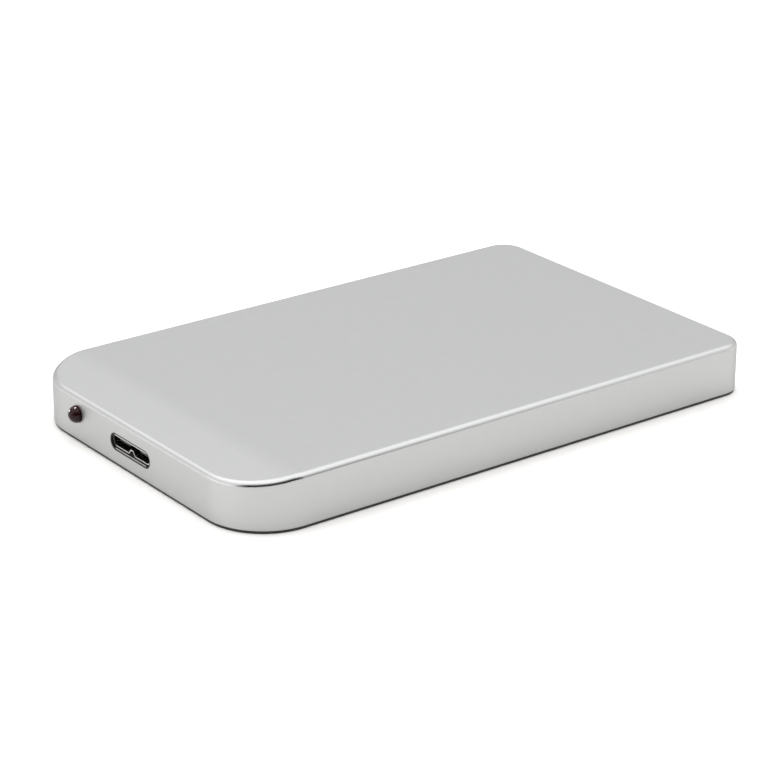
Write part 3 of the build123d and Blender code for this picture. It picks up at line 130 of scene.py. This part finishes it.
# Motor: laminated steel teeth with copper windings stand round a turned steel bearing sleeve that is
# pressed into the casting.
rolled_streaks, taken, given = effect("rolled_streaks", {"Along": 40.0, "Across": 2600.0, **tones})
place = add(rolled_streaks, "ShaderNodeTexCoord").outputs["Object"]
across = taken["Across"]
stretch = add(rolled_streaks, "ShaderNodeCombineXYZ", {"X": taken["Along"], "Y": across, "Z": across})
drawn = add(
    rolled_streaks,
    "ShaderNodeVectorMath",
    {0: place, 1: stretch.outputs["Vector"]},
    operation="MULTIPLY",
)
streaks = noise(rolled_streaks, drawn.outputs["Vector"], scale=1.0, detail=3.0)
give_tones(rolled_streaks, taken, given, streaks, streaks)

level_only = (1.0, 1.0, 0.0)
ring_sizes = {"Centre X": 0.0, "Centre Y": 0.0, "Ring Scale": 4000.0}
turned_rings, taken, given = effect("turned_rings", {**ring_sizes, **tones})
place = add(turned_rings, "ShaderNodeTexCoord").outputs["Object"]
middle = add(turned_rings, "ShaderNodeCombineXYZ", {"X": taken["Centre X"], "Y": taken["Centre Y"]})
flat = add(turned_rings, "ShaderNodeVectorMath", {0: place, 1: level_only}, operation="MULTIPLY")
reach = add(
    turned_rings,
    "ShaderNodeVectorMath",
    {0: flat.outputs["Vector"], 1: middle.outputs["Vector"]},
    operation="DISTANCE",
)
rings = add(
    turned_rings,
    "ShaderNodeTexNoise",
    {"W": reach.outputs["Value"], "Scale": taken["Ring Scale"], "Detail": 2.0},
    noise_dimensions="1D",
)
give_tones(turned_rings, taken, given, rings.outputs["Fac"], rings.outputs["Fac"])


def centre(name):
    low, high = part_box(name)
    return (low + high) / 2


spindle = centre("upper_platter")
turned_steel = finish(
    "turned_steel",
    turned_rings,
    {"Centre X": spindle.x, "Centre Y": spindle.y, "Smooth": 0.2, "Rough": 0.34,
     "Dark": (0.42, 0.42, 0.43, 1), "Light": (0.62, 0.62, 0.62, 1)},
    bump=0.000004,
    Metallic=1.0,
)
dress(turned_steel, "bearing_sleeve")
laminations = finish(
    "laminations",
    rolled_streaks,
    {"Along": 300.0, "Across": 4000.0, "Smooth": 0.4, "Rough": 0.6,
     "Dark": (0.22, 0.22, 0.23, 1), "Light": (0.36, 0.36, 0.37, 1)},
    bump=0.00001,
    Metallic=1.0,
)
dress(laminations, "stator_core")

wound_wire, taken, given = effect("wound_wire", {"Turns Scale": 2400.0, **tones})
place = add(wound_wire, "ShaderNodeTexCoord").outputs["Object"]
turns = add(
    wound_wire,
    "ShaderNodeTexWave",
    {"Vector": place, "Scale": taken["Turns Scale"], "Distortion": 0.6},
    bands_direction="DIAGONAL",
)
give_tones(wound_wire, taken, given, turns.outputs["Fac"], turns.outputs["Fac"])
copper_winding = finish(
    "copper_winding",
    wound_wire,
    {"Smooth": 0.2, "Rough": 0.42, "Dark": (0.32, 0.10, 0.04, 1), "Light": (0.66, 0.27, 0.11, 1)},
    bump=0.00003,
    Metallic=1.0,
)
dress(copper_winding, "stator_coils")


# Spindle: a turned aluminium hub with a ring magnet, two glass-smooth coated disks, a spacer between
# them and a spring steel clamp with its screws.
turned_aluminium = finish(
    "turned_aluminium",
    turned_rings,
    {"Centre X": spindle.x, "Centre Y": spindle.y, "Smooth": 0.18, "Rough": 0.32,
     "Dark": (0.50, 0.51, 0.52, 1), "Light": (0.68, 0.69, 0.70, 1)},
    bump=0.000004,
    Metallic=1.0,
)
dress(turned_aluminium, "spindle_hub")
magnet_skin = finish(
    "magnet_skin",
    fine_grain,
    {"Grain Scale": 5000.0, "Patch Scale": 200.0, "Smooth": 0.16, "Rough": 0.3,
     "Dark": (0.36, 0.36, 0.38, 1), "Light": (0.48, 0.48, 0.50, 1)},
    bump=0.000003,
    Metallic=1.0,
)
dress(magnet_skin, "rotor_magnet")
disk_mirror = finish(
    "disk_mirror",
    turned_rings,
    {"Centre X": spindle.x, "Centre Y": spindle.y, "Ring Scale": 900.0, "Smooth": 0.02, "Rough": 0.05,
     "Dark": (0.60, 0.60, 0.63, 1), "Light": (0.68, 0.68, 0.70, 1)},
    bump=0.0000002,
    Metallic=1.0,
)
dress(disk_mirror, "lower_platter", "upper_platter")
dress(bare_casting, "platter_spacer")
dress(turned_steel, "disk_clamp")
plated_screw = finish(
    "plated_screw",
    fine_grain,
    {"Grain Scale": 6000.0, "Patch Scale": 400.0, "Smooth": 0.2, "Rough": 0.36,
     "Dark": (0.40, 0.40, 0.40, 1), "Light": (0.60, 0.60, 0.60, 1)},
    bump=0.000004,
    Metallic=1.0,
)
dress(plated_screw, "clamp_screws")


# Head arm: a milled aluminium block on a bearing sleeve round the fixed post, with stamped steel
# suspensions, ceramic sliders at their tips and a copper coil in a moulded frame behind.
milled_aluminium = finish(
    "milled_aluminium",
    rolled_streaks,
    {"Along": 120.0, "Across": 1600.0, "Smooth": 0.24, "Rough": 0.4,
     "Dark": (0.46, 0.47, 0.48, 1), "Light": (0.62, 0.63, 0.64, 1)},
    bump=0.000006,
    Metallic=1.0,
)
dress(milled_aluminium, "arm_block")
pivot = centre("pivot_post")
pivot_steel = finish(
    "pivot_steel",
    turned_rings,
    {"Centre X": pivot.x, "Centre Y": pivot.y, "Smooth": 0.18, "Rough": 0.32,
     "Dark": (0.42, 0.42, 0.43, 1), "Light": (0.62, 0.62, 0.62, 1)},
    bump=0.000004,
    Metallic=1.0,
)
dress(pivot_steel, "pivot_post", "pivot_sleeve")
sheet_steel = finish(
    "sheet_steel",
    rolled_streaks,
    {"Smooth": 0.22, "Rough": 0.38, "Dark": (0.44, 0.44, 0.44, 1), "Light": (0.60, 0.60, 0.60, 1)},
    bump=0.000005,
    Metallic=1.0,
)
dress(sheet_steel, "head_suspensions")
slider_ceramic = finish(
    "slider_ceramic",
    fine_grain,
    {"Grain Scale": 8000.0, "Smooth": 0.2, "Rough": 0.35,
     "Dark": (0.012, 0.012, 0.014, 1), "Light": (0.035, 0.034, 0.033, 1)},
    bump=0.000002,
)
dress(slider_ceramic, "head_sliders")
dress(copper_winding, "voice_coil")
moulded_black = finish(
    "moulded_black",
    fine_grain,
    {"Grain Scale": 4200.0, "Patch Scale": 300.0, "Smooth": 0.36, "Rough": 0.52,
     "Dark": (0.008, 0.008, 0.009, 1), "Light": (0.022, 0.022, 0.023, 1)},
    bump=0.00001,
)
dress(moulded_black, "coil_frame")


# Coil magnets: two nickel plated plates on stamped steel yokes, held apart by posts, and the moulded
# ramp that the heads park on.
dress(sheet_steel, "lower_yoke", "upper_yoke")
dress(plated_screw, "yoke_posts")
dress(magnet_skin, "lower_magnet", "upper_magnet")
moulded_white = finish(
    "moulded_white",
    fine_grain,
    {"Grain Scale": 3600.0, "Patch Scale": 240.0, "Smooth": 0.34, "Rough": 0.48,
     "Dark": (0.56, 0.54, 0.48, 1), "Light": (0.68, 0.66, 0.59, 1)},
    bump=0.000008,
)
dress(moulded_white, "parking_ramp")


# Drive lid: a stamped bright steel plate that closes the casting. It presses a black rubber gasket onto
# the casting's rim and is held by small plated screws.
dress(sheet_steel, "drive_lid")
dress(plated_screw, "lid_screws")
black_rubber = finish(
    "black_rubber",
    fine_grain,
    {"Grain Scale": 2600.0, "Patch Scale": 160.0, "Smooth": 0.6, "Rough": 0.8,
     "Dark": (0.010, 0.010, 0.010, 1), "Light": (0.030, 0.030, 0.030, 1)},
    bump=0.00002,
)
dress(black_rubber, "lid_gasket")


# Drive board: green solder mask over copper on glass fibre, with moulded chips and small ceramic parts
# soldered on, screwed under the casting, and the connector at the drive's end.
board_mask, taken, given = effect("board_mask", {"Track Scale": 500.0, **tones})
place = add(board_mask, "ShaderNodeTexCoord").outputs["Object"]
track_tones = {"Color1": (0.35, 0.35, 0.35, 1), "Color2": (0.55, 0.55, 0.55, 1), "Mortar": (1, 1, 1, 1)}
track_sizes = {"Scale": taken["Track Scale"], "Mortar Size": 0.06, "Brick Width": 2.2, "Row Height": 0.5}
tracks = add(board_mask, "ShaderNodeTexBrick", {"Vector": place, **track_sizes, **track_tones})
fibre = noise(board_mask, place, scale=1500.0, detail=2.0)
fibre_share = 0.3
covered = mixed(board_mask, fibre_share, tracks.outputs["Fac"], fibre)
give_tones(board_mask, taken, given, covered, covered)
solder_mask = finish(
    "solder_mask",
    board_mask,
    {"Smooth": 0.24, "Rough": 0.4, "Dark": (0.010, 0.075, 0.035, 1), "Light": (0.022, 0.16, 0.07, 1)},
    bump=0.00001,
)
dress(solder_mask, "drive_board")
chip_package = finish(
    "chip_package",
    fine_grain,
    {"Grain Scale": 3000.0, "Patch Scale": 300.0, "Smooth": 0.45, "Rough": 0.62,
     "Dark": (0.010, 0.010, 0.011, 1), "Light": (0.030, 0.030, 0.032, 1)},
    bump=0.000012,
)
dress(chip_package, "drive_controller", "motor_driver", "cache_chip")
tan_ceramic = finish(
    "tan_ceramic",
    fine_grain,
    {"Grain Scale": 3600.0, "Patch Scale": 900.0, "Smooth": 0.3, "Rough": 0.5,
     "Dark": (0.14, 0.08, 0.04, 1), "Light": (0.34, 0.24, 0.15, 1)},
    bump=0.000006,
)
dress(tan_ceramic, "drive_passives")
dress(plated_screw, "board_screws")
dress(moulded_black, "sata_plug")
gold_plate = finish(
    "gold_plate",
    rolled_streaks,
    {"Along": 600.0, "Across": 5000.0, "Smooth": 0.16, "Rough": 0.3,
     "Dark": (0.62, 0.38, 0.12, 1), "Light": (0.84, 0.58, 0.22, 1)},
    bump=0.000002,
    Metallic=1.0,
)
dress(gold_plate, "sata_plug_contacts")


# Bridge board: the small board between the drive and the port, with its controller, memory chip, crystal
# can, coil and capacitors, screwed to two posts in the shell and plugged onto the drive.
dress(solder_mask, "bridge_board")
dress(chip_package, "bridge_chip", "bridge_flash")
dress(sheet_steel, "bridge_crystal")
ferrite = finish(
    "ferrite",
    fine_grain,
    {"Grain Scale": 2200.0, "Patch Scale": 260.0, "Smooth": 0.5, "Rough": 0.7,
     "Dark": (0.020, 0.020, 0.021, 1), "Light": (0.060, 0.060, 0.062, 1)},
    bump=0.00002,
)
dress(ferrite, "bridge_inductor")
dress(tan_ceramic, "bridge_passives")
dress(plated_screw, "bridge_screws")
dress(moulded_black, "sata_socket")
dress(gold_plate, "sata_socket_contacts")


# USB receptacle: a folded nickel plated steel shell on the bridge board, with two moulded tongues that
# carry a row of gold plated springs each.
# The nickel's tones are darkened as painted shade, standing in for the shade inside the port slot.
nickel_and_painted_shade = finish(
    "nickel_and_painted_shade",
    rolled_streaks,
    {"Along": 900.0, "Across": 3000.0, "Smooth": 0.16, "Rough": 0.3,
     "Dark": (0.40, 0.39, 0.375, 1), "Light": (0.56, 0.55, 0.535, 1)},
    bump=0.000003,
    Metallic=1.0,
)
dress(nickel_and_painted_shade, "usb_shell")
dress(moulded_black, "usb_tongue")
dress(gold_plate, "usb_contacts")


# Status lamp: a dark red clear moulded dome, with a flange behind the end wall and two tinned legs
# soldered to the bridge board. Its colour is painted lighter and greyer towards its lower part: a painted
# reflection of the floor.
def maths(tree, operation, *values):
    return add(tree, "ShaderNodeMath", dict(enumerate(values)), operation=operation).outputs["Value"]


def fade(tree, value, start, end):
    sockets = {"Value": value, "From Min": start, "From Max": end}
    return add(tree, "ShaderNodeMapRange", sockets).outputs["Result"]


# Where the dome's lower part takes the lighter tone: the painted reflection of the floor.
painted_light_start = -0.1
painted_light_end = 0.9
flow_share = 0.15
lamp_painted_light, taken, given = effect("lamp_painted_light", {"Core Z": 0.0, "Core Radius": 0.0017, **tones})
place = add(lamp_painted_light, "ShaderNodeTexCoord").outputs["Object"]
lamp_level = add(lamp_painted_light, "ShaderNodeSeparateXYZ", {0: place}).outputs["Z"]
below = maths(lamp_painted_light, "SUBTRACT", taken["Core Z"], lamp_level)
sunk = maths(lamp_painted_light, "DIVIDE", below, taken["Core Radius"])
painted_lower_light = fade(lamp_painted_light, sunk, painted_light_start, painted_light_end)
flow = noise(lamp_painted_light, place, scale=900.0, detail=1.0)
give_tones(lamp_painted_light, taken, given, mixed(lamp_painted_light, flow_share, painted_lower_light, flow), flow)
# The Light tone is the painted reflection of the floor, laid on the dome's lower part.
lamp_lens = finish(
    "lamp_lens",
    lamp_painted_light,
    {"Core Z": centre("status_led").z, "Smooth": 0.04, "Rough": 0.07,
     "Dark": (0.012, 0.0006, 0.002, 1), "Light": (0.044, 0.026, 0.029, 1)},
    bump=0.0000005,
    IOR=1.56,
    Specular_IOR_Level=0.16,
)
dress(lamp_lens, "status_led")
tinned_lead = finish(
    "tinned_lead",
    fine_grain,
    {"Grain Scale": 5000.0, "Patch Scale": 600.0, "Smooth": 0.26, "Rough": 0.42,
     "Dark": (0.46, 0.46, 0.46, 1), "Light": (0.64, 0.64, 0.63, 1)},
    bump=0.000004,
    Metallic=1.0,
)
dress(tinned_lead, "led_leads")


# Top shell: one pressed aluminium shell with a sloping nose, blasted with fine beads and clear anodised,
# with the port slot and the lamp's hole cut in its end wall. Its rounded edge is rubbed smoother.
edge_round = 0.00112
nose_run = 0.0104
nose_drop = 0.0012
nose_soft = 0.0001
rubbed_roughness = 0.16
rub_start = (0.13, 0.27)
rub_end = (0.99, 0.96)
round_start = (0.02, 0.03)
round_end = (0.97, 0.86)
blasted_aluminium = finish(
    "blasted_aluminium",
    fine_grain,
    {"Grain Scale": 3800.0, "Patch Scale": 700.0, "Patch Share": 0.5, "Smooth": 0.40, "Rough": 0.50,
     "Dark": (0.468, 0.472, 0.4705, 1), "Light": (0.525, 0.529, 0.5275, 1)},
    bump=0.000002,
    Metallic=1.0,
    Specular_Tint=(0.6, 0.6, 0.6, 1),
)
tree = blasted_aluminium.node_tree
shader = tree.nodes["Principled BSDF"]
relief = shader.inputs["Normal"].links[0].from_node
blasted = shader.inputs["Roughness"].links[0].from_socket
shell_low, shell_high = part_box("top_shell")
spot = add(tree, "ShaderNodeTexCoord").outputs
facing = add(tree, "ShaderNodeSeparateXYZ", {0: spot["Normal"]}).outputs
point = add(tree, "ShaderNodeSeparateXYZ", {0: spot["Object"]}).outputs

# The height above the foot of the rounded edge gives the edge's true lean, also on the falling nose
round_x = maths(tree, "MULTIPLY_ADD", facing["X"], -edge_round, point["X"])
run = maths(tree, "SUBTRACT", shell_low.x + nose_run, round_x)
slope_fall = maths(tree, "MULTIPLY", run, nose_drop / nose_run)
fall = maths(tree, "SMOOTH_MAX", slope_fall, 0.0, nose_soft)
above = maths(tree, "SUBTRACT", maths(tree, "ADD", point["Z"], fall), shell_high.z - edge_round)
lean = fade(tree, above, 0.0, edge_round)
outward = add(tree, "ShaderNodeVectorMath", {0: spot["Normal"], 1: level_only}, operation="MULTIPLY")
level_way = add(tree, "ShaderNodeVectorMath", {0: outward.outputs["Vector"]}, operation="NORMALIZE")
level_part = maths(tree, "SQRT", maths(tree, "SUBTRACT", 1.0, maths(tree, "MULTIPLY", lean, lean)))
aside = add(
    tree,
    "ShaderNodeVectorMath",
    {0: level_way.outputs["Vector"], "Scale": level_part},
    operation="SCALE",
)
upward = add(tree, "ShaderNodeCombineXYZ", {"Z": lean})
rolled = add(
    tree,
    "ShaderNodeVectorMath",
    {0: aside.outputs["Vector"], 1: upward.outputs["Vector"]},
    operation="ADD",
)
off_wall = fade(tree, facing["Z"], *round_start)
on_round = maths(tree, "MULTIPLY", off_wall, fade(tree, facing["Z"], *round_end))
true_way = mixed(tree, on_round, spot["Normal"], rolled.outputs["Vector"], data_type="VECTOR")
world_way = add(
    tree,
    "ShaderNodeVectorTransform",
    {"Vector": true_way},
    vector_type="NORMAL",
    convert_from="OBJECT",
    convert_to="WORLD",
)
tree.links.new(world_way.outputs["Vector"], relief.inputs["Normal"])

rubbed = maths(tree, "MULTIPLY", fade(tree, lean, *rub_start), fade(tree, facing["Z"], *rub_end))
tree.links.new(mixed(tree, rubbed, blasted, rubbed_roughness), shader.inputs["Roughness"])
dress(blasted_aluminium, "top_shell")


# Port sleeve: a thin black moulded bezel that lines the slot in the end wall, held by a flange behind
# the wall.
dress(moulded_black, "port_bezel")


# Foam strips: die-cut black foam, stuck to the cover and under the roof, that grips the drive on both
# faces. The squeeze rounds their sides. The rubber blocks at the rear end take knocks.
strip_width = 0.006
strip_round = 0.00033
round_steps = 5
foam_skin = finish(
    "foam_skin",
    fine_grain,
    {"Grain Scale": 1400.0, "Patch Scale": 260.0, "Smooth": 0.75, "Rough": 0.95,
     "Dark": (0.012, 0.012, 0.012, 1), "Light": (0.060, 0.060, 0.060, 1)},
    bump=0.00008,
)


def foam_strips(name, pads):
    low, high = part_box(pads)
    mesh = bmesh.new()
    for side in (-1, 1):
        middle = Vector(((low.x + high.x) / 2, side * (high.y - strip_width / 2), (low.z + high.z) / 2))
        extent = Vector((high.x - low.x, strip_width, high.z - low.z))
        strip = bmesh.ops.create_cube(mesh, matrix=Matrix.LocRotScale(middle, None, extent))
        edges = list({edge for corner in strip["verts"] for edge in corner.link_edges})
        bmesh.ops.bevel(
            mesh,
            geom=edges,
            offset=strip_round,
            segments=round_steps,
            profile=0.5,
            affect="EDGES",
        )
    piece = bpy.data.objects.new(name, bpy.data.meshes.new(name))
    mesh.to_mesh(piece.data)
    mesh.free()
    piece.data.shade_smooth()
    piece.data.materials.append(foam_skin)
    bpy.context.scene.collection.objects.link(piece)
    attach(piece, "case")
    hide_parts(pads)


foam_strips("lower_foam_strips", "lower_pads")
foam_strips("upper_foam_strips", "upper_pads")
dress(black_rubber, "rear_bumpers")


# Bottom cover: a moulded plate, coloured black, with a thin flange under the shell's rim, hooked in at the
# rear end and held by two countersunk screws at the port end. Its black is painted shade: the flange
# stands in for the dark shadow gap under the shell's rim.
dress(moulded_black, "bottom_cover")
dress(plated_screw, "cover_screws")


# Studio: a pale floor under a white tent, one large soft light above, a window behind, a white card beside
# the port end, the room's dark side behind the camera and two small lights that only the lamp catches.
floor_half = 4.0
floor_drop = 0.00004
floor_colour = (0.936, 0.928, 0.910, 1)
floor_place = Matrix.Translation((0, 0, -floor_drop))
sheet = bmesh.new()
bmesh.ops.create_grid(sheet, x_segments=1, y_segments=1, size=floor_half, matrix=floor_place)
floor = bpy.data.objects.new("floor", bpy.data.meshes.new("floor"))
sheet.to_mesh(floor.data)
sheet.free()
bpy.context.scene.collection.objects.link(floor)
paper = bpy.data.materials.new("floor_paper")
paper.use_nodes = True
paper_sockets = paper.node_tree.nodes["Principled BSDF"].inputs
paper_sockets["Base Color"].default_value = floor_colour
paper_sockets["Roughness"].default_value = 1.0
paper_sockets["Specular IOR Level"].default_value = 0.0
floor.data.materials.append(paper)


def heading(turn, lift):
    return Vector((sin(turn) * cos(lift), -cos(turn) * cos(lift), sin(lift)))


view_turn = radians(-36.968)
view_rise = radians(22.354)
view_roll = radians(0.173)
view_distance = 0.53355
slide_right = -0.001515
slide_up = 0.002923
aim_lift = 0.0005
back = heading(view_turn, view_rise)
level = Vector((cos(view_turn), sin(view_turn), 0))
upright = back.cross(level)
right = cos(view_roll) * level + sin(view_roll) * upright
up = cos(view_roll) * upright - sin(view_roll) * level
stand = back * view_distance + right * slide_right + up * slide_up + Vector((0, 0, aim_lift))
camera = bpy.data.objects.new("camera", bpy.data.cameras.new("camera"))
camera.data.sensor_width = 36.0
camera.data.lens = 126.78
camera.data.clip_start = 0.01
camera.matrix_world = Matrix.Translation(stand) @ Matrix((right, up, back)).transposed().to_4x4()
bpy.context.scene.collection.objects.link(camera)
bpy.context.scene.camera = camera


def soft_light(name, side, power):
    light = bpy.data.objects.new(name, bpy.data.lights.new(name, "AREA"))
    light.data.size = side
    light.data.energy = power
    light.visible_camera = False
    bpy.context.scene.collection.objects.link(light)
    return light


softbox_height = 0.75
softbox = soft_light("softbox", side=1.0, power=1.65)
softbox.location = (0, 0, softbox_height)
softbox.visible_glossy = False

glint_away = 0.5
lamp_only = bpy.data.collections.new("lamp_only")
lamp_only.objects.link(cad["status_led"])
upper_glint = {"turn": radians(-166), "lift": radians(63)}
side_glint = {"turn": radians(-158), "lift": radians(5)}
for place, power in ((upper_glint, 3.0), (side_glint, 1.2)):
    towards = heading(**place)
    glint = soft_light("glint", side=0.11, power=power)
    glint.location = towards * glint_away
    glint.rotation_euler = towards.to_track_quat("Z", "Y").to_euler()
    glint.light_linking.receiver_collection = lamp_only

room = bpy.data.worlds.new("studio")
room.use_nodes = True
tree = room.node_tree
bounce = tree.nodes["Background"]
sight = add(tree, "ShaderNodeTexCoord").outputs["Generated"]
rise = add(tree, "ShaderNodeSeparateXYZ", {0: sight}).outputs["Z"]
flat = add(tree, "ShaderNodeVectorMath", {0: sight, 1: level_only}, operation="MULTIPLY").outputs["Vector"]
compass = add(tree, "ShaderNodeVectorMath", {0: flat}, operation="NORMALIZE").outputs["Vector"]


def ramp(value, start, end, first=0.0, last=1.0, **settings):
    sockets = {"Value": value, "From Min": start, "From Max": end, "To Min": first, "To Max": last}
    return add(tree, "ShaderNodeMapRange", sockets, **settings).outputs["Result"]


def zone(glow, turn, edge, core, clear, full):
    towards = heading(radians(turn), 0)
    aim = add(tree, "ShaderNodeVectorMath", {0: compass, 1: towards}, operation="DOT_PRODUCT")
    edge_aim = cos(radians(edge))
    core_aim = cos(radians(core))
    across = ramp(aim.outputs["Value"], edge_aim, core_aim, interpolation_type="SMOOTHSTEP")
    mask = maths(tree, "MULTIPLY", across, ramp(rise, sin(radians(clear)), sin(radians(full))))
    return ramp(mask, 0.0, 1.0, 1.0, glow)


tent_foot = 1.17
tent_crown = 1.82
foot_rise = sin(radians(27))
crown_rise = sin(radians(58))
far_wall = zone(glow=0.965, turn=143, edge=55, core=20, clear=58, full=42)
room_side = zone(glow=0.03, turn=-24, edge=68, core=42, clear=66, full=28)
window = zone(glow=1.2, turn=-168, edge=30, core=10, clear=28, full=36)
white_card = zone(glow=1.5, turn=-112, edge=36, core=15, clear=24, full=10)
glow = ramp(rise, foot_rise, crown_rise, tent_foot, tent_crown)
for part in (far_wall, room_side, window, white_card):
    glow = maths(tree, "MULTIPLY", glow, part)
tree.links.new(glow, bounce.inputs["Strength"])
bounce.inputs["Color"].default_value = (1, 1, 1, 1)
backdrop = add(tree, "ShaderNodeBackground", {"Color": (1, 1, 1, 1), "Strength": 1.0})
seen = add(tree, "ShaderNodeLightPath").outputs["Is Camera Ray"]
sides = {0: seen, 1: bounce.outputs["Background"], 2: backdrop.outputs["Background"]}
both = add(tree, "ShaderNodeMixShader", sides)
tree.links.new(both.outputs["Shader"], tree.nodes["World Output"].inputs["Surface"])
bpy.context.scene.world = room
bpy.context.scene.view_settings.view_transform = "Standard"
